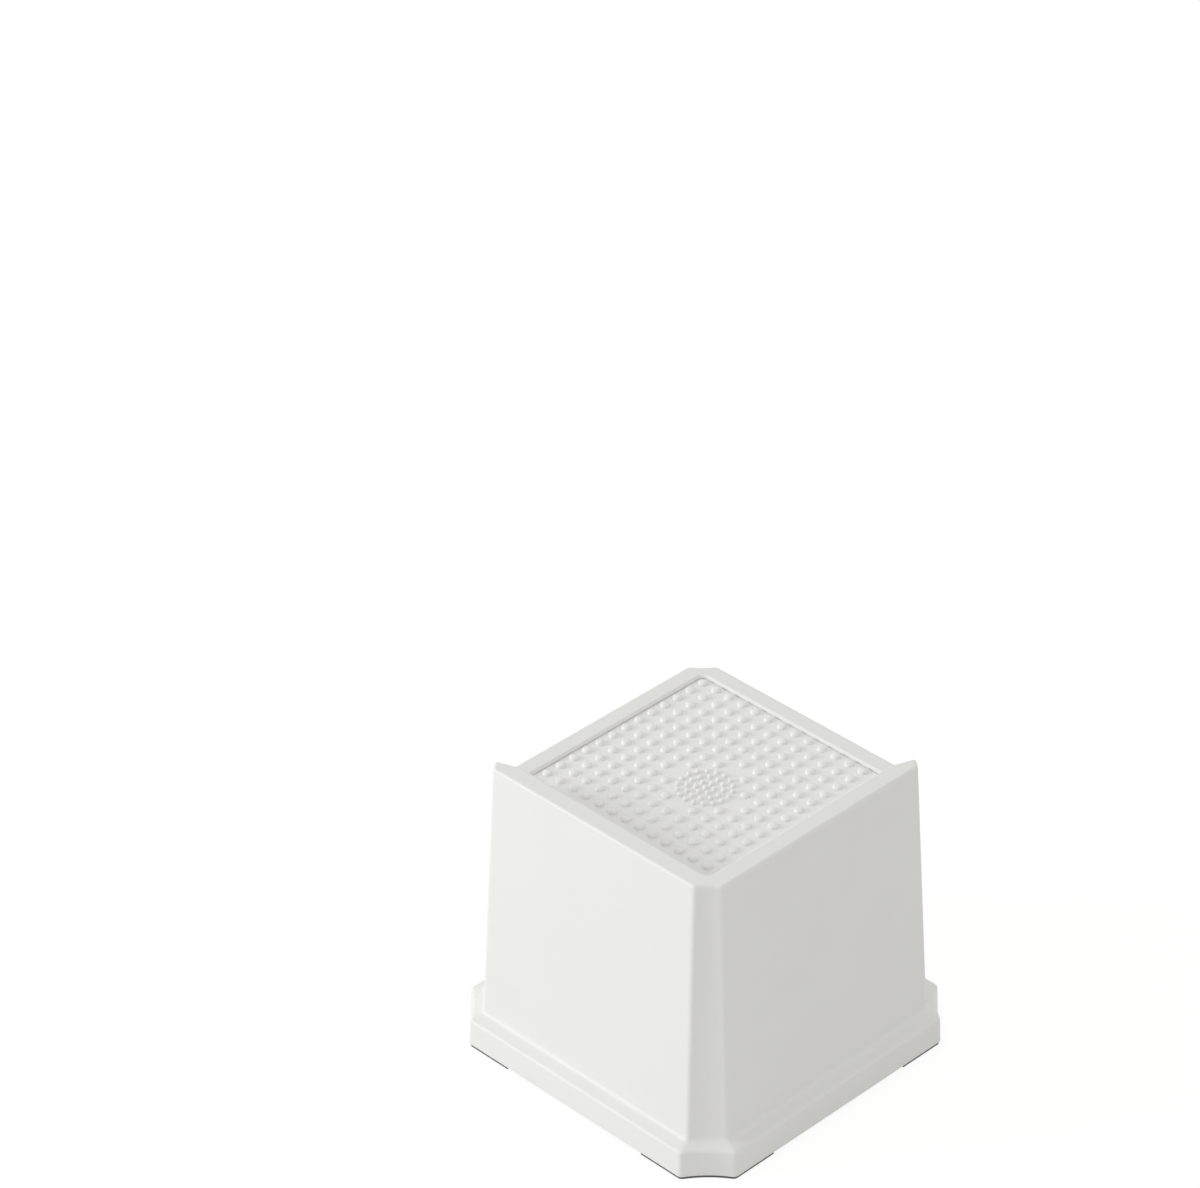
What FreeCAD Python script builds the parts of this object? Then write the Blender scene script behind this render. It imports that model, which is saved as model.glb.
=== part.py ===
import FreeCAD, Part
import Sketcher
import math
import os

# Bed riser: a hollow square moulding with coved corners, an L-shaped lip, a studded mat and four pads.
# Lengths are in millimetres. The origin is on the floor under the middle of the foot, with +Z up.
# The two lips stand on the -X and -Y sides.

SIZES = [
    # Outside of the moulding, from the foot up
    ("pad_thickness", 1.1),
    ("base_width", 120.65),
    ("skirt_height", 9.35),
    ("skirt_draft", 0.3),
    ("ledge_depth", 4.8),
    ("ledge_rise", 1.6),
    ("wall_height", 84.65),
    ("wall_draft", 4.925),
    ("lip_height", 10.5),
    # Hollow corners: the leg is how far a cove runs along each side
    ("base_cove_leg", 12.4),
    ("foot_cove_leg", 8.95),
    ("top_cove_leg", 6.2),
    ("cove_radius_per_leg", 3.0),
    ("corner_round", 2.0),
    # Lip, rim and recess
    ("lip_thickness", 6.9),
    ("lip_inner_round", 2.5),
    ("lip_end_run", 5.0),
    ("lip_end_turn", 3.0),
    ("rim_width", 6.5),
    ("top_edge_round", 1.0),
    ("recess_depth", 3.5),
    ("recess_round", 2.5),
    ("recess_bevel", 0.6),
    # Rounds along the top of the skirt and the foot of the wall
    ("plinth_round", 1.2),
    ("plinth_root", 2.2),
    # Hollow underside
    ("wall_thickness", 3.0),
    ("top_thickness", 4.0),
    ("rib_thickness", 3.0),
    ("rib_draft_width", 0.8),
    ("cell_outer_round", 16.0),
    ("cell_inner_round", 3.0),
    # Anti-slip mat in the recess
    ("mat_clearance", 0.1),
    ("mat_thickness", 2.3),
    ("stud_pitch", 5.88),
    ("stud_width", 3.3),
    ("stud_height", 1.1),
    ("stud_taper", 25.0),
    ("medallion_radius", 12.4),
    ("dot_width", 1.9),
    ("dot_ring_pitch", 2.95),
    # Foot pads under the corners
    ("pad_inset", 0.4),
    ("pad_leg", 30.0),
    ("pad_width", 6.0),
    ("pad_slope", 10.0),
]


class Size:
    """A length that carries its number and the sheet expression that gives it."""

    def __init__(self, number, text):
        self.number = number
        self.text = text

    def join(self, sign, other, number):
        return Size(number, f"({self.text} {sign} {as_size(other).text})")

    def __add__(self, other):
        return self.join("+", other, self.number + as_size(other).number)

    def __sub__(self, other):
        return self.join("-", other, self.number - as_size(other).number)

    def __mul__(self, other):
        return self.join("*", other, self.number * as_size(other).number)

    def __truediv__(self, other):
        return self.join("/", other, self.number / as_size(other).number)

    def __neg__(self):
        return Size(-self.number, f"(0 - {self.text})")


def as_size(value):
    return value if isinstance(value, Size) else Size(float(value), repr(float(value)))


def root(size):
    return Size(math.sqrt(size.number), f"sqrt({size.text})")


def between(low, high, share):
    return low + (high - low) * share


doc = FreeCAD.newDocument("bed_riser")
sheet = doc.addObject("Spreadsheet::Sheet", "sizes")
size = {}
for row, (alias, number) in enumerate(SIZES, start=1):
    sheet.set(f"A{row}", alias)
    sheet.set(f"B{row}", str(number))
    sheet.setAlias(f"B{row}", alias)
    size[alias] = Size(number, f"sizes.{alias}")
doc.recompute()


# Sizes that follow from the driving ones

skirt_top = size["pad_thickness"] + size["skirt_height"]
wall_foot = skirt_top + size["ledge_rise"]
rim = wall_foot + size["wall_height"]
lip_top = rim + size["lip_height"]
base_half = size["base_width"] / 2
skirt_half = base_half - size["skirt_draft"]
foot_half = skirt_half - size["ledge_depth"]
top_half = foot_half - size["wall_draft"]
rim_half = between(foot_half, top_half, size["wall_height"] / (lip_top - wall_foot))
lip_inner = top_half - size["lip_thickness"]
recess_edge = rim_half - size["rim_width"]
recess_floor = rim - size["recess_depth"]


def wall_half(height):
    share = (height - wall_foot) / (lip_top - wall_foot)
    return between(foot_half, top_half, share)


# Sketch helpers

def new_body(label):
    body = doc.addObject("PartDesign::Body", label)
    body.Label = label
    return body


def plane(body, role):
    return next(o for o in body.Origin.OriginFeatures if o.Role == role)


def new_sketch(body, name, height):
    """An empty sketch lying level at a height."""
    sketch = body.newObject("Sketcher::SketchObject", name)
    sketch.AttachmentSupport = (plane(body, "XY_Plane"), "")
    sketch.MapMode = "FlatFace"
    sketch.setExpression("AttachmentOffset.Base.z", as_size(height).text)
    return sketch


def vector(point):
    return FreeCAD.Vector(point[0].number, point[1].number, 0)


def arc_edge(here, there, arc):
    """Arc between two points, and which of its ends lie at them."""
    radius, centre, turn = arc
    first, last = (here, there) if turn > 0 else (there, here)
    middle = vector(centre)
    start = math.atan2(first.y - middle.y, first.x - middle.x)
    stop = math.atan2(last.y - middle.y, last.x - middle.x)
    if stop < start:
        stop += 2 * math.pi
    circle = Part.Circle(middle, FreeCAD.Vector(0, 0, 1), radius.number)
    return Part.ArcOfCircle(circle, start, stop), (1, 2) if turn > 0 else (2, 1)


def driven(name, kind, *places):
    constraint = Sketcher.Constraint(kind, *places)
    constraint.Name = name
    return constraint


def draw_outline(sketch, corners):
    """Closed outline. Each corner is (x, y, edge to the next corner).

    The edge is None for a straight one, or (radius, centre, turn) for an arc,
    where turn is 1 for an anticlockwise arc and -1 for a clockwise one.
    """
    edges = []
    ends = []
    for i, (x, y, arc) in enumerate(corners):
        here = vector((x, y))
        there = vector(corners[(i + 1) % len(corners)][:2])
        edge, order = (Part.LineSegment(here, there), (1, 2)) if arc is None else arc_edge(here, there, arc)
        edges.append(edge)
        ends.append(order)
    constraints = []
    formulas = {}
    for i, (x, y, arc) in enumerate(corners):
        nxt = (i + 1) % len(corners)
        constraints.append(Sketcher.Constraint("Coincident", i, ends[i][1], nxt, ends[nxt][0]))
        constraints.append(driven(f"x{i}", "DistanceX", -1, 1, i, ends[i][0], x.number))
        constraints.append(driven(f"y{i}", "DistanceY", -1, 1, i, ends[i][0], y.number))
        formulas[f"x{i}"] = x.text
        formulas[f"y{i}"] = y.text
        if arc is not None:
            constraints.append(driven(f"radius{i}", "Radius", i, arc[0].number))
            formulas[f"radius{i}"] = arc[0].text
    sketch.addGeometry(edges)
    sketch.addConstraint(constraints)
    for name, formula in formulas.items():
        sketch.setExpression(f"Constraints.{name}", formula)


def coved_corner(half, leg, inset):
    """Points and arcs of one hollow corner in the +X +Y quadrant, going round anticlockwise.

    The cove's circle stands outside the corner. A small round leads into it from each side.
    """
    ratio = size["cove_radius_per_leg"]
    radius = ratio * leg
    reach = leg * (root(ratio * ratio / 2 - 0.25) - 0.5)
    centre = half + reach
    edge = half - inset
    cove = radius + inset
    small = size["corner_round"]
    span = cove + small
    drop = reach + inset + small
    run = root(span * span - drop * drop)
    near = (edge, centre - run)
    near_centre = (edge - small, centre - run)
    near_cove = (centre - cove / span * drop, centre - cove / span * run)
    far_cove = (near_cove[1], near_cove[0])
    far_centre = (near_centre[1], near_centre[0])
    return [
        (near[0], near[1], (small, near_centre, 1)),
        (near_cove[0], near_cove[1], (cove, (centre, centre), -1)),
        (far_cove[0], far_cove[1], (small, far_centre, 1)),
        (near[1], near[0], None),
    ]


def quarter_turn(corner):
    """The same corner turned a quarter anticlockwise about the origin."""
    def turned(x, y):
        return -y, x
    points = []
    for x, y, arc in corner:
        if arc is not None:
            arc = (arc[0], turned(*arc[1]), arc[2])
        points.append((*turned(x, y), arc))
    return points


def section(body, name, height, half, leg):
    """The riser's square outline with hollow corners, at a height."""
    sketch = new_sketch(body, name, height)
    corner = coved_corner(half, leg, as_size(0))
    outline = []
    for _ in range(4):
        outline += corner
        corner = quarter_turn(corner)
    draw_outline(sketch, outline)
    return sketch


def rounded_box(low_x, low_y, high_x, high_y, rounds):
    """Outline of a box with a round at each corner, from the lower left corner anticlockwise."""
    r = rounds
    return [
        (low_x, low_y + r[0], (r[0], (low_x + r[0], low_y + r[0]), 1)),
        (low_x + r[0], low_y, None),
        (high_x - r[1], low_y, (r[1], (high_x - r[1], low_y + r[1]), 1)),
        (high_x, low_y + r[1], None),
        (high_x, high_y - r[2], (r[2], (high_x - r[2], high_y - r[2]), 1)),
        (high_x - r[2], high_y, None),
        (low_x + r[3], high_y, (r[3], (low_x + r[3], high_y - r[3]), 1)),
        (low_x, high_y - r[3], None),
    ]


def loft(body, name, kind, sketches):
    feature = body.newObject(kind, name)
    feature.Profile = sketches[0]
    feature.Sections = sketches[1:]
    feature.Ruled = True
    doc.recompute()
    return feature


def pad(body, name, sketch, length):
    feature = body.newObject("PartDesign::Pad", name)
    feature.Profile = sketch
    feature.setExpression("Length", length.text)
    doc.recompute()
    return feature


def pocket(body, name, sketch, length):
    """Cuts downwards from its sketch."""
    feature = body.newObject("PartDesign::Pocket", name)
    feature.Profile = sketch
    feature.setExpression("Length", length.text)
    doc.recompute()
    return feature


def fillet(body, name, base, wanted, radius):
    """Rounds the edges of the base feature that the test picks."""
    names = [f"Edge{i}" for i, edge in enumerate(base.Shape.Edges, start=1) if wanted(edge)]
    feature = body.newObject("PartDesign::Fillet", name)
    feature.Base = (base, names)
    feature.setExpression("Radius", radius.text)
    doc.recompute()
    return feature


NEAR = 1e-3


def level_at(height):
    def wanted(edge):
        box = edge.BoundBox
        return abs(box.ZMin - height.number) < NEAR and abs(box.ZMax - height.number) < NEAR
    return wanted


# Moulded body

body = new_body("riser_body")
levels = [
    ("foot_outline", size["pad_thickness"], base_half, size["base_cove_leg"]),
    ("skirt_outline", skirt_top, skirt_half, size["base_cove_leg"]),
    ("wall_outline", wall_foot, foot_half, size["foot_cove_leg"]),
    ("top_outline", lip_top, top_half, size["top_cove_leg"]),
]
sections = [section(body, *level) for level in levels]
outside = loft(body, "outside", "PartDesign::AdditiveLoft", sections)

# The open sides are cut down to the rim and leave the lips on two sides.
# Near its end the inside of a lip turns outwards, so that the lip comes to a point in the middle of a cove
beyond = base_half + size["lip_height"]
inner_round = size["lip_inner_round"]
arc_start = inner_round - lip_inner
end_start = lip_inner - size["lip_end_run"]
end_run = size["lip_end_run"] + size["lip_end_turn"]
end_along = end_start + end_run * 3
end_across = -lip_inner - size["lip_end_turn"] * 3
open_sides = new_sketch(body, "open_sides", lip_top)
draw_outline(open_sides, [
    (end_across, end_along, None),
    (-lip_inner, end_start, None),
    (-lip_inner, arc_start, (inner_round, (arc_start, arc_start), 1)),
    (arc_start, -lip_inner, None),
    (end_start, -lip_inner, None),
    (end_along, end_across, None),
    (beyond, beyond, None),
])
lips = pocket(body, "lips", open_sides, size["lip_height"])


def in_end_plane(along, across):
    """Whether a place lies in the upright plane that ends a lip, given along and across that lip."""
    turn = size["lip_end_turn"].number
    gap = (along - end_start.number) * turn + (across + lip_inner.number) * end_run.number
    return abs(gap) < NEAR


def on_lip_end(edge):
    """Edges in one of the two upright planes that end the lips."""
    corners = edge.Vertexes
    front = all(in_end_plane(corner.X, corner.Y) for corner in corners)
    return front or all(in_end_plane(corner.Y, corner.X) for corner in corners)


def on_open_rim(edge):
    """Level edges round the outside of the open rim."""
    middle = edge.valueAt((edge.FirstParameter + edge.LastParameter) / 2)
    return level_at(rim)(edge) and max(middle.x, middle.y) > recess_edge.number and not on_lip_end(edge)


def on_top(edge):
    upright = edge.BoundBox.ZLength > size["lip_height"].number / 2
    return level_at(lip_top)(edge) or on_open_rim(edge) or upright and on_lip_end(edge)


softened = fillet(body, "top_rounds", lips, on_top, size["top_edge_round"])


softened = fillet(body, "plinth_rounds", softened, level_at(skirt_top), size["plinth_round"])
softened = fillet(body, "plinth_roots", softened, level_at(wall_foot), size["plinth_root"])

# The recess runs flush down the inside of the lips and is bevelled along the open sides
recess_rounds = [inner_round, size["recess_round"], size["recess_round"], size["recess_round"]]
recess_outline = new_sketch(body, "recess_outline", rim)
draw_outline(recess_outline, rounded_box(-lip_inner, -lip_inner, recess_edge, recess_edge, recess_rounds))
recess = pocket(body, "recess", recess_outline, size["recess_depth"])


def bevel_sketch(name, rise):
    """Level outline of the bevel's sloping cut, at a rise above the rim. It keeps clear of the lips."""
    low = size["recess_bevel"] - lip_inner
    high = recess_edge + size["recess_bevel"] + rise
    sketch = new_sketch(body, name, rim + rise)
    draw_outline(sketch, rounded_box(low, low, high, high, recess_rounds))
    return sketch


bevel_top = bevel_sketch("bevel_top", size["recess_bevel"])
bevel_foot = bevel_sketch("bevel_foot", size["recess_bevel"] * -2)
bevel = loft(body, "bevel", "PartDesign::SubtractiveLoft", [bevel_top, bevel_foot])

# Four tapered cells hollow out the underside and leave the walls, the top plate and two crossed ribs
ceiling = recess_floor - size["top_thickness"]
rib_round = size["cell_inner_round"]
cell_rounds = [rib_round, rib_round, size["cell_outer_round"], rib_round]


def cell_sketch(name, height, rib_half):
    outer = wall_half(height) - size["wall_thickness"]
    sketch = new_sketch(body, name, height)
    draw_outline(sketch, rounded_box(rib_half, rib_half, outer, outer, cell_rounds))
    return sketch


rib_foot = size["rib_thickness"] / 2
rib_top = rib_foot + size["rib_draft_width"] / 2
mouth = cell_sketch("cell_mouth", size["pad_thickness"], rib_foot)
roof = cell_sketch("cell_roof", ceiling, rib_top)
cell = loft(body, "cell", "PartDesign::SubtractiveLoft", [mouth, roof])
cells = body.newObject("PartDesign::PolarPattern", "cells")
cells.Originals = [cell]
cells.Axis = (plane(body, "Z_Axis"), [""])
cells.Angle = 360
cells.Occurrences = 4
body.Tip = cells
doc.recompute()


# Anti-slip mat: a thin plate with a square grid of studs, and rings of small dots in the middle

STUD_SIDES = 8
FIRST_RING_COUNT = 6


def reach(width):
    """Distance from the middle of an eight-sided stud to its corners, from its width across flats."""
    return width / 2 / math.cos(math.pi / STUD_SIDES)


def polygon(centre, width, height):
    turns = [(k + 0.5) * 2 * math.pi / STUD_SIDES for k in range(STUD_SIDES)]
    corners = [FreeCAD.Vector(math.cos(turn), math.sin(turn), 0) * reach(width) for turn in turns]
    return [centre + corner + FreeCAD.Vector(0, 0, height) for corner in corners]


def stud_faces(foot, head):
    """Side faces and top face of a stud that stands on the plate."""
    faces = []
    for k in range(STUD_SIDES):
        nxt = (k + 1) % STUD_SIDES
        faces.append(Part.Face(Part.makePolygon([foot[k], foot[nxt], head[nxt], head[k], foot[k]])))
    faces.append(Part.Face(Part.makePolygon(head + head[:1])))
    return faces


def stud_places(low, high):
    """Stud centres on a square grid, left out where the dots stand."""
    pitch = size["stud_pitch"].number
    middle = (low + high) / 2
    count = int((high - low - size["stud_width"].number) / pitch) + 1
    line = [middle + (k - (count - 1) / 2) * pitch for k in range(count)]
    clear = size["medallion_radius"].number
    places = [FreeCAD.Vector(x, y, 0) for x in line for y in line]
    return [place for place in places if math.hypot(place.x - middle, place.y - middle) > clear]


def dot_places(middle):
    """One dot in the middle and rings of evenly spaced dots round it, clear of the studs."""
    places = [FreeCAD.Vector(middle, middle, 0)]
    pitch = size["dot_ring_pitch"].number
    room = size["medallion_radius"].number - reach(size["stud_width"].number)
    rings = int((room - reach(size["dot_width"].number)) / pitch)
    for ring in range(1, rings + 1):
        count = FIRST_RING_COUNT * ring
        for k in range(count):
            angle = 2 * math.pi * k / count
            spot = FreeCAD.Vector(math.cos(angle), math.sin(angle), 0) * (ring * pitch)
            places.append(places[0] + spot)
    return places


def mat_plate(low, high):
    """Thin square plate whose corners follow the rounds of the recess."""
    thickness = size["mat_thickness"].number
    clearance = size["mat_clearance"].number
    plate = Part.makeBox(high - low, high - low, thickness, FreeCAD.Vector(low, low, recess_floor.number))
    upright = [edge for edge in plate.Edges if edge.BoundBox.ZLength > thickness - NEAR]
    by_lips = [edge for edge in upright if edge.CenterOfMass.x + edge.CenterOfMass.y < 2 * low + NEAR]
    plate = plate.makeFillet(size["lip_inner_round"].number - clearance, by_lips)
    upright = [edge for edge in plate.Edges if edge.BoundBox.ZLength > thickness - NEAR]
    by_rim = [edge for edge in upright if edge.CenterOfMass.x + edge.CenterOfMass.y > low + high - NEAR]
    return plate.makeFillet(size["recess_round"].number - clearance, by_rim)


def mat_shape():
    """The plate's faces and the studs' faces, sewn together into one solid."""
    low = -lip_inner.number + size["mat_clearance"].number
    high = recess_edge.number - size["mat_clearance"].number
    surface = recess_floor.number + size["mat_thickness"].number
    rise = size["stud_height"].number
    studs = [(place, size["stud_width"].number) for place in stud_places(low, high)]
    studs += [(place, size["dot_width"].number) for place in dot_places((low + high) / 2)]
    lean = 2 * rise * math.tan(math.radians(size["stud_taper"].number))
    faces = []
    holes = []
    for place, width in studs:
        foot = polygon(place, width, surface)
        head = polygon(place, width - lean, surface + rise)
        clockwise = foot[::-1]
        holes.append(Part.makePolygon(clockwise + clockwise[:1]))
        faces += stud_faces(foot, head)
    for face in mat_plate(low, high).Faces:
        if face.BoundBox.ZMin > surface - NEAR:
            pierced = Part.Face(face.OuterWire)
            pierced.cutHoles(holes)
            faces.append(pierced)
        else:
            faces.append(face)
    skin = Part.makeCompound(faces)
    skin.sewShape()
    return Part.makeSolid(skin.Shells[0])


mat = doc.addObject("Part::Feature", "top_mat")
mat.Label = "top_mat"
mat.Shape = mat_shape()


# Foot pads: flat corner pieces that follow the outline of the foot

def foot_pad(label, turns):
    pad_body = new_body(label)
    edge = base_half - size["pad_inset"]
    leg_end = base_half - size["pad_leg"]
    inside = edge - size["pad_width"]
    slope = inside - size["pad_slope"]
    corner = coved_corner(base_half, size["base_cove_leg"], size["pad_inset"])
    sketch = new_sketch(pad_body, label + "_outline", as_size(0))
    draw_outline(sketch, [(edge, leg_end, None)] + corner + [
        (leg_end, edge, None),
        (leg_end, inside, None),
        (slope, inside, None),
        (inside, slope, None),
        (inside, leg_end, None),
    ])
    pad(pad_body, label + "_sheet", sketch, size["pad_thickness"])
    turned = FreeCAD.Rotation(FreeCAD.Vector(0, 0, 1), 90 * turns)
    pad_body.Placement = FreeCAD.Placement(FreeCAD.Vector(), turned)
    return pad_body


PAD_CORNERS = ["back_right", "back_left", "front_left", "front_right"]
pads = [foot_pad(f"foot_pad_{corner}", turns) for turns, corner in enumerate(PAD_CORNERS)]
doc.recompute()


# Checks, then one file for each piece

pieces = [body, mat] + pads
for item in doc.Objects:
    if "Invalid" in item.State or "Error" in item.State:
        raise RuntimeError(f"{item.Label} failed: {item.State}")
for piece in pieces:
    if piece.Shape.isNull() or not piece.Shape.isValid() or len(piece.Shape.Solids) != 1:
        raise RuntimeError(f"{piece.Label} is not one valid solid")
os.makedirs("parts", exist_ok=True)
for piece in pieces:
    piece.Shape.exportStep(f"parts/{piece.Label}.step")
    print(piece.Label, round(piece.Shape.Volume), "mm3")
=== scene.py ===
import math
import bmesh
import bpy
from mathutils import Matrix, Vector
from mathutils.geometry import delaunay_2d_cdt


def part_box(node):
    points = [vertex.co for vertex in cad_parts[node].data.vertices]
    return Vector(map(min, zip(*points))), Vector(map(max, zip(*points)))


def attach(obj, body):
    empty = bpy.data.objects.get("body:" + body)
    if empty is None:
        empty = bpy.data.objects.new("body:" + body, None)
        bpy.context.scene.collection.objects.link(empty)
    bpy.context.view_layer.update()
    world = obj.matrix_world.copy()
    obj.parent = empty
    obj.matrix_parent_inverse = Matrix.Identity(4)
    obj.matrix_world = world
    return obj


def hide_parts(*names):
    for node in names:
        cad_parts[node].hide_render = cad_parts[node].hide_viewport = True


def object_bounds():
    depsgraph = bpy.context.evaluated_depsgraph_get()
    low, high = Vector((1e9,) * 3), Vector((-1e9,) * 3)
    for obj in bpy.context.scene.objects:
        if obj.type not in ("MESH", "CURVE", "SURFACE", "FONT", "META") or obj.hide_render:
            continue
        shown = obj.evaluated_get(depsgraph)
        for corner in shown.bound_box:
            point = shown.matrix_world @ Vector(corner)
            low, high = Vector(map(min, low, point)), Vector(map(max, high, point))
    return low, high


# Bed riser: white satin moulding, studded white mat and dark rubber foot pads on a pale floor.
# Lengths are in metres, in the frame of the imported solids.

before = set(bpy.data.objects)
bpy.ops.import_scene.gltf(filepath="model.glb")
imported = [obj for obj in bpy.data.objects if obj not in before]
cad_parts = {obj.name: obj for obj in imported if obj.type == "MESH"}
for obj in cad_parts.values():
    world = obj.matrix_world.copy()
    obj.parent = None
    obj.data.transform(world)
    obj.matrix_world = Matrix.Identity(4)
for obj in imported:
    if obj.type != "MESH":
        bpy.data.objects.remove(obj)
cad_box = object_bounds()
MM = 0.001


# Helpers for nodes and objects

# A noise seldom leaves this middle part of its range
NOISE_LOW = 0.3
NOISE_HIGH = 0.7


def new_material(name):
    material = bpy.data.materials.new(name)
    material.use_nodes = True
    tree = material.node_tree
    tree.nodes.clear()
    output = tree.nodes.new("ShaderNodeOutputMaterial")
    return material, tree, output


def add_node(tree, kind, inputs=(), **settings):
    """A node with its settings and its inputs, each a value or another node's socket."""
    node = tree.nodes.new(kind)
    for name, value in settings.items():
        setattr(node, name, value)
    for socket, value in dict(inputs).items():
        if isinstance(value, bpy.types.NodeSocket):
            tree.links.new(value, node.inputs[socket])
        else:
            node.inputs[socket].default_value = value
    return node


def object_noise(tree, scale, detail=2.0):
    """Noise fixed to the object, with scale in waves for each metre."""
    place = add_node(tree, "ShaderNodeTexCoord").outputs["Object"]
    inputs = {"Vector": place, "Scale": scale, "Detail": detail}
    return add_node(tree, "ShaderNodeTexNoise", inputs).outputs["Fac"]


def value_between(tree, noise, low, high):
    """A value that follows a noise from low to high."""
    inputs = {"Value": noise, "From Min": NOISE_LOW, "From Max": NOISE_HIGH, "To Min": low, "To Max": high}
    return add_node(tree, "ShaderNodeMapRange", inputs).outputs["Result"]


def colour_between(tree, noise, darker, lighter):
    """A colour that follows a noise from the darker to the lighter one."""
    node = add_node(tree, "ShaderNodeMix", {"Factor": noise}, data_type="RGBA")
    ends = [socket for socket in node.inputs if socket.type == "RGBA"]
    ends[0].default_value = (*darker, 1.0)
    ends[1].default_value = (*lighter, 1.0)
    return next(socket for socket in node.outputs if socket.type == "RGBA")


def bump(tree, height, distance, under=None):
    """A bumped normal, on top of another one if that is given."""
    inputs = {"Height": height, "Distance": distance, "Strength": 1.0}
    if under is not None:
        inputs["Normal"] = under
    return add_node(tree, "ShaderNodeBump", inputs).outputs["Normal"]


def add_surface(tree, output, inputs):
    surface = add_node(tree, "ShaderNodeBsdfPrincipled", inputs)
    tree.links.new(surface.outputs["BSDF"], output.inputs["Surface"])


def to_object(bm, name):
    """Puts a finished mesh into the scene."""
    mesh = bpy.data.meshes.new(name)
    bm.to_mesh(mesh)
    bm.free()
    made = bpy.data.objects.new(name, mesh)
    bpy.context.scene.collection.objects.link(made)
    return made


def dress(piece, material):
    piece.data.materials.clear()
    piece.data.materials.append(material)


# Materials

def moulded_plastic():
    """White satin plastic with a fine mould grain and a faint unevenness in tone and gloss."""
    material, tree, output = new_material("moulded_plastic")
    tone = object_noise(tree, scale=35.0, detail=3.0)
    colour = colour_between(tree, tone, darker=(0.835, 0.835, 0.828), lighter=(0.865, 0.865, 0.858))
    roughness = value_between(tree, object_noise(tree, scale=120.0), low=0.36, high=0.46)
    flow = bump(tree, object_noise(tree, scale=60.0), distance=0.05 * MM)
    grain = bump(tree, object_noise(tree, scale=2600.0, detail=1.0), distance=0.004 * MM, under=flow)
    add_surface(tree, output, {
        "Base Color": colour,
        "Roughness": roughness,
        "Normal": grain,
        "IOR": 1.49,
        "Specular IOR Level": 0.4,
    })
    return material


def mat_vinyl():
    """Soft white vinyl: slightly see-through and shinier than the moulding."""
    material, tree, output = new_material("mat_vinyl")
    tone = object_noise(tree, scale=180.0, detail=3.0)
    colour = colour_between(tree, tone, darker=(0.87, 0.87, 0.865), lighter=(0.91, 0.91, 0.905))
    roughness = value_between(tree, object_noise(tree, scale=400.0), low=0.16, high=0.26)
    skin = bump(tree, object_noise(tree, scale=900.0), distance=0.06 * MM)
    add_surface(tree, output, {
        "Base Color": colour,
        "Roughness": roughness,
        "Normal": skin,
        "IOR": 1.5,
        "Subsurface Weight": 0.15,
        "Subsurface Radius": (1.0, 1.0, 0.95),
        "Subsurface Scale": 0.6 * MM,
    })
    return material


def dark_rubber():
    """Dark grey rubber with a dull, finely pitted skin."""
    material, tree, output = new_material("dark_rubber")
    tone = object_noise(tree, scale=250.0, detail=4.0)
    colour = colour_between(tree, tone, darker=(0.08, 0.08, 0.082), lighter=(0.12, 0.12, 0.122))
    roughness = value_between(tree, object_noise(tree, scale=700.0), low=0.7, high=0.88)
    pits = bump(tree, object_noise(tree, scale=3000.0), distance=0.03 * MM)
    add_surface(tree, output, {
        "Base Color": colour,
        "Roughness": roughness,
        "Normal": pits,
    })
    return material


# Mat: the solid's plate and grid, with round domed studs in place of the eight-sided ones

STUD_PITCH = 5.88 * MM
STUD_WIDTH = 3.3 * MM
STUD_HEIGHT = 1.1 * MM
STUD_SEGMENTS = 20
MEDALLION_RADIUS = 12.4 * MM
DOT_WIDTH = 1.9 * MM
DOT_RING_PITCH = 2.95 * MM
DOT_RINGS = 3
DOTS_IN_FIRST_RING = 6
DOT_SEGMENTS = 14
MAT_CORNER_ROUND = 2.4 * MM
MAT_CORNER_STEPS = 8
MAT_EDGE_ROUND = 0.15 * MM
MAT_EDGE_STEPS = 4
# Share of the width and share of the height, from the foot of a stud to its crown
DOME = [(1.0, 0.0), (0.97, 0.3), (0.91, 0.58), (0.78, 0.81), (0.57, 0.94), (0.29, 0.99)]
# Settings of the flat fill, which works in millimetres
FILL_WHOLE_OUTLINE = 0
FILL_TOLERANCE = 1e-6


def round_ring(bm, centre, radius, height, segments):
    """Ring of points round a centre."""
    ring = []
    for k in range(segments):
        turn = 2 * math.pi * k / segments
        x = centre[0] + radius * math.cos(turn)
        y = centre[1] + radius * math.sin(turn)
        ring.append(bm.verts.new((x, y, height)))
    return ring


def rounded_square(bm, low, high, corner, height):
    """Ring of points round a square with rounded corners."""
    near = low + corner
    far = high - corner
    ring = []
    for quarter, (x, y) in enumerate([(far, far), (near, far), (near, near), (far, near)]):
        for k in range(MAT_CORNER_STEPS + 1):
            turn = math.pi / 2 * (quarter + k / MAT_CORNER_STEPS)
            ring.append(bm.verts.new((x + corner * math.cos(turn), y + corner * math.sin(turn), height)))
    return ring


def bridge(bm, lower, upper):
    """Smooth faces between two rings with the same number of points."""
    for k in range(len(lower)):
        after = (k + 1) % len(lower)
        bm.faces.new((lower[k], lower[after], upper[after], upper[k])).smooth = True


def dome(bm, centre, width, surface, segments):
    """A round stud; returns the ring at its foot."""
    rings = []
    for across, rise in DOME:
        rings.append(round_ring(bm, centre, width / 2 * across, surface + STUD_HEIGHT * rise, segments))
    for lower, upper in zip(rings, rings[1:]):
        bridge(bm, lower, upper)
    top = rings[-1]
    crown = bm.verts.new((*centre, surface + STUD_HEIGHT))
    for k in range(segments):
        bm.faces.new((top[k], top[(k + 1) % segments], crown)).smooth = True
    return rings[0]


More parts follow.
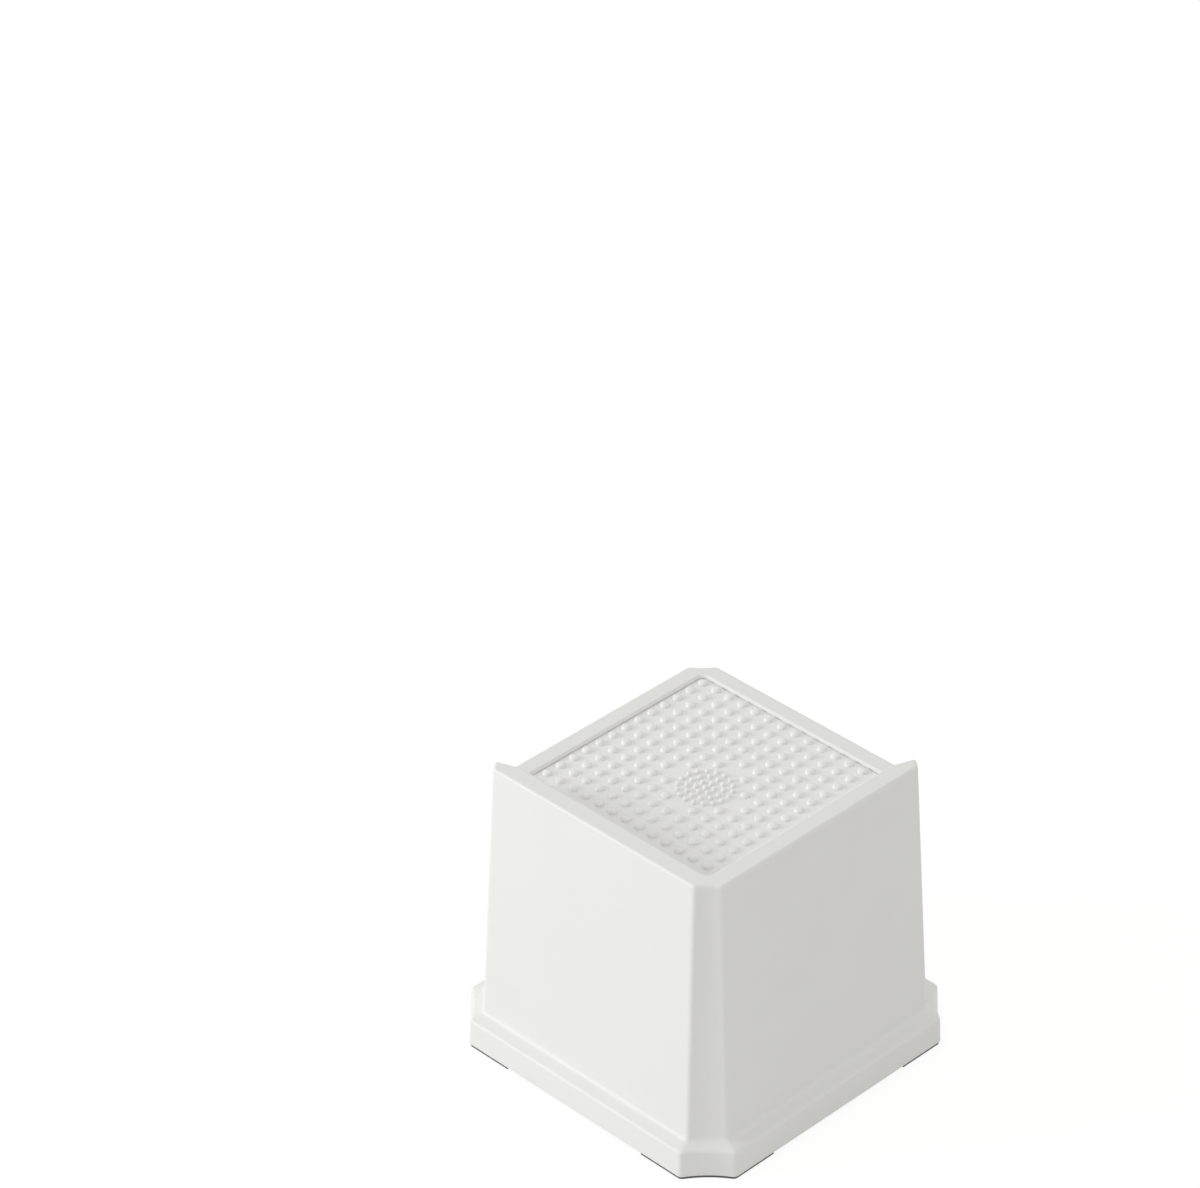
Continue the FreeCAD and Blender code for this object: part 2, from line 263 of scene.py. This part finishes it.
def fill_between(bm, outline, rings):
    """Flat faces between a convex outline and the rings inside it."""
    points = []
    sides = []
    for ring in [outline] + rings:
        first = len(points)
        points += ring
        sides += [(first + k, first + (k + 1) % len(ring)) for k in range(len(ring))]
    owner = [None] * len(outline)
    for number, ring in enumerate(rings):
        owner += [number] * len(ring)
    flat = [point.co.xy / MM for point in points]
    filled = delaunay_2d_cdt(flat, sides, [], FILL_WHOLE_OUTLINE, FILL_TOLERANCE)
    triangles, sources = filled[2:4]
    for triangle in triangles:
        corners = [sources[k][0] for k in triangle]
        owners = {owner[k] for k in corners}
        inside_one_ring = len(owners) == 1 and None not in owners
        if not inside_one_ring:
            bm.faces.new([points[k] for k in corners])


def stud_places(low, high):
    """A square grid of places that leaves out the medallion in the middle."""
    middle = (low + high) / 2
    count = int((high - low - STUD_WIDTH) / STUD_PITCH) + 1
    line = [middle + (k - (count - 1) / 2) * STUD_PITCH for k in range(count)]
    return [(x, y) for x in line for y in line if math.hypot(x - middle, y - middle) > MEDALLION_RADIUS]


def dot_places(middle):
    """Rings of places round the middle of the medallion."""
    places = [(middle, middle)]
    for ring in range(1, DOT_RINGS + 1):
        radius = ring * DOT_RING_PITCH
        count = DOTS_IN_FIRST_RING * ring
        for k in range(count):
            turn = 2 * math.pi * k / count
            places.append((middle + radius * math.cos(turn), middle + radius * math.sin(turn)))
    return places


def studded_mat():
    low_corner, high_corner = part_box("top_mat")
    low = low_corner.x
    high = high_corner.x
    surface = high_corner.z - STUD_HEIGHT
    bm = bmesh.new()
    feet = [dome(bm, centre, STUD_WIDTH, surface, STUD_SEGMENTS) for centre in stud_places(low, high)]
    feet += [dome(bm, centre, DOT_WIDTH, surface, DOT_SEGMENTS) for centre in dot_places((low + high) / 2)]
    lower = rounded_square(bm, low, high, MAT_CORNER_ROUND, low_corner.z)
    bm.faces.new(lower[::-1])
    for k in range(MAT_EDGE_STEPS + 1):
        turn = math.pi / 2 * k / MAT_EDGE_STEPS
        inset = MAT_EDGE_ROUND * (1 - math.cos(turn))
        height = surface - MAT_EDGE_ROUND * (1 - math.sin(turn))
        upper = rounded_square(bm, low + inset, high - inset, MAT_CORNER_ROUND - inset, height)
        bridge(bm, lower, upper)
        lower = upper
    fill_between(bm, lower, feet)
    bmesh.ops.recalc_face_normals(bm, faces=bm.faces)
    return to_object(bm, "studded_mat")


# Pieces and their finish

dress(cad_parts["riser_body"], moulded_plastic())
rubber = dark_rubber()
for name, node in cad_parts.items():
    if name.startswith("foot_pad"):
        dress(node, rubber)
mat = studded_mat()
dress(mat, mat_vinyl())
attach(mat, "root")
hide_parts("top_mat")


# Camera, at the photograph's viewing angle

CAMERA_AZIMUTH = math.radians(-44.4222)
CAMERA_ELEVATION = math.radians(33.4656)
CAMERA_ROLL = math.radians(-0.6479)
CAMERA_DISTANCE = 1598.472 * MM
AIM_HEIGHT = 54.7 * MM
# The object stands off the middle of the picture, so the eye is shifted across the view
CAMERA_RIGHT = -33.528 * MM
CAMERA_UP = 95.64 * MM
FOCAL_PIXELS = 5000
IMAGE_WIDTH_PIXELS = 1200
SENSOR_WIDTH_MM = 36.0
CLIP_START = 0.01
CLIP_END = 50.0


def direction(azimuth, elevation):
    """From the object towards a camera or a lamp, with azimuth 0 in front, at -Y."""
    level = math.cos(elevation)
    return Vector((math.sin(azimuth) * level, -math.cos(azimuth) * level, math.sin(elevation)))


def add_camera():
    back = direction(CAMERA_AZIMUTH, CAMERA_ELEVATION)
    level_right = Vector((math.cos(CAMERA_AZIMUTH), math.sin(CAMERA_AZIMUTH), 0))
    level_up = back.cross(level_right)
    right = math.cos(CAMERA_ROLL) * level_right + math.sin(CAMERA_ROLL) * level_up
    up = math.cos(CAMERA_ROLL) * level_up - math.sin(CAMERA_ROLL) * level_right
    aim = Vector((0, 0, AIM_HEIGHT))
    eye = aim + back * CAMERA_DISTANCE + right * CAMERA_RIGHT + up * CAMERA_UP
    data = bpy.data.cameras.new("camera")
    data.sensor_width = SENSOR_WIDTH_MM
    data.lens = FOCAL_PIXELS / IMAGE_WIDTH_PIXELS * SENSOR_WIDTH_MM
    data.clip_start = CLIP_START
    data.clip_end = CLIP_END
    camera = bpy.data.objects.new("camera", data)
    bpy.context.scene.collection.objects.link(camera)
    turn = Matrix((right, up, back)).transposed()
    camera.matrix_world = Matrix.Translation(eye) @ turn.to_4x4()
    bpy.context.scene.camera = camera


# Pale floor and soft light

WORLD_STRENGTH = 0.715
WORLD_TINT = (1.0, 0.993, 0.968)
WORLD_SEEN_STRENGTH = 1.0
FLOOR_HALF = 4.0
FLOOR_ALBEDO = 0.81
FLOOR_SEEN_ALBEDO = 0.2
FLOOR_SEEN_GLOW = 0.86
KEY_AZIMUTH = math.radians(-131)
KEY_ELEVATION = math.radians(20)
KEY_DISTANCE = 1.6
KEY_SIZE = 0.65
KEY_POWER = 9.45
KEY_TINT = (0.965, 0.98, 1.0)


def grey(level):
    return (level, level, level, 1.0)


def seen_directly(tree):
    """1 for rays from the camera, also by way of a mirror or glass, and 0 for light."""
    path = add_node(tree, "ShaderNodeLightPath")
    seen = path.outputs["Is Camera Ray"]
    for name in ("Is Glossy Ray", "Is Transmission Ray"):
        inputs = {0: seen, 1: path.outputs[name]}
        seen = add_node(tree, "ShaderNodeMath", inputs, operation="MAXIMUM").outputs["Value"]
    return seen


def add_mix(tree, output, light, seen):
    """One shader for the light that falls on the object and another for what the camera sees."""
    mixed = add_node(tree, "ShaderNodeMixShader", {0: seen_directly(tree), 1: light, 2: seen})
    tree.links.new(mixed.outputs["Shader"], output.inputs["Surface"])


def floor_material():
    """White where the camera sees it, with the object's shadow, and pale grey for the light it returns."""
    material, tree, output = new_material("pale_floor")
    pale = add_node(tree, "ShaderNodeBsdfDiffuse", {"Color": grey(FLOOR_ALBEDO)})
    shadowed = add_node(tree, "ShaderNodeBsdfDiffuse", {"Color": grey(FLOOR_SEEN_ALBEDO)})
    glow = add_node(tree, "ShaderNodeEmission", {"Strength": FLOOR_SEEN_GLOW})
    white = add_node(tree, "ShaderNodeAddShader", {0: shadowed.outputs["BSDF"], 1: glow.outputs["Emission"]})
    add_mix(tree, output, light=pale.outputs["BSDF"], seen=white.outputs["Shader"])
    return material


def add_floor():
    bm = bmesh.new()
    bmesh.ops.create_grid(bm, x_segments=1, y_segments=1, size=FLOOR_HALF)
    floor = to_object(bm, "floor")
    floor.location.z = cad_box[0][2]
    dress(floor, floor_material())


def add_world():
    """Soft light from all sides, seen as white."""
    world = bpy.data.worlds.new("studio")
    world.use_nodes = True
    tree = world.node_tree
    tree.nodes.clear()
    output = tree.nodes.new("ShaderNodeOutputWorld")
    soft = add_node(tree, "ShaderNodeBackground", {"Color": (*WORLD_TINT, 1.0), "Strength": WORLD_STRENGTH})
    white = add_node(tree, "ShaderNodeBackground", {"Color": grey(1.0), "Strength": WORLD_SEEN_STRENGTH})
    add_mix(tree, output, light=soft.outputs["Background"], seen=white.outputs["Background"])
    bpy.context.scene.world = world


def add_key_light():
    """A round lamp on the left, which gives the lip its shadow on the mat."""
    aim = Vector((0, 0, cad_box[1][2] / 2))
    away = direction(KEY_AZIMUTH, KEY_ELEVATION)
    data = bpy.data.lights.new("key", "AREA")
    data.shape = "DISK"
    data.size = KEY_SIZE
    data.energy = KEY_POWER
    data.color = KEY_TINT
    light = bpy.data.objects.new("key", data)
    light.location = aim + away * KEY_DISTANCE
    light.rotation_euler = away.to_track_quat("Z", "Y").to_euler()
    bpy.context.scene.collection.objects.link(light)


add_camera()
add_floor()
add_world()
add_key_light()
bpy.context.scene.view_settings.view_transform = "Standard"
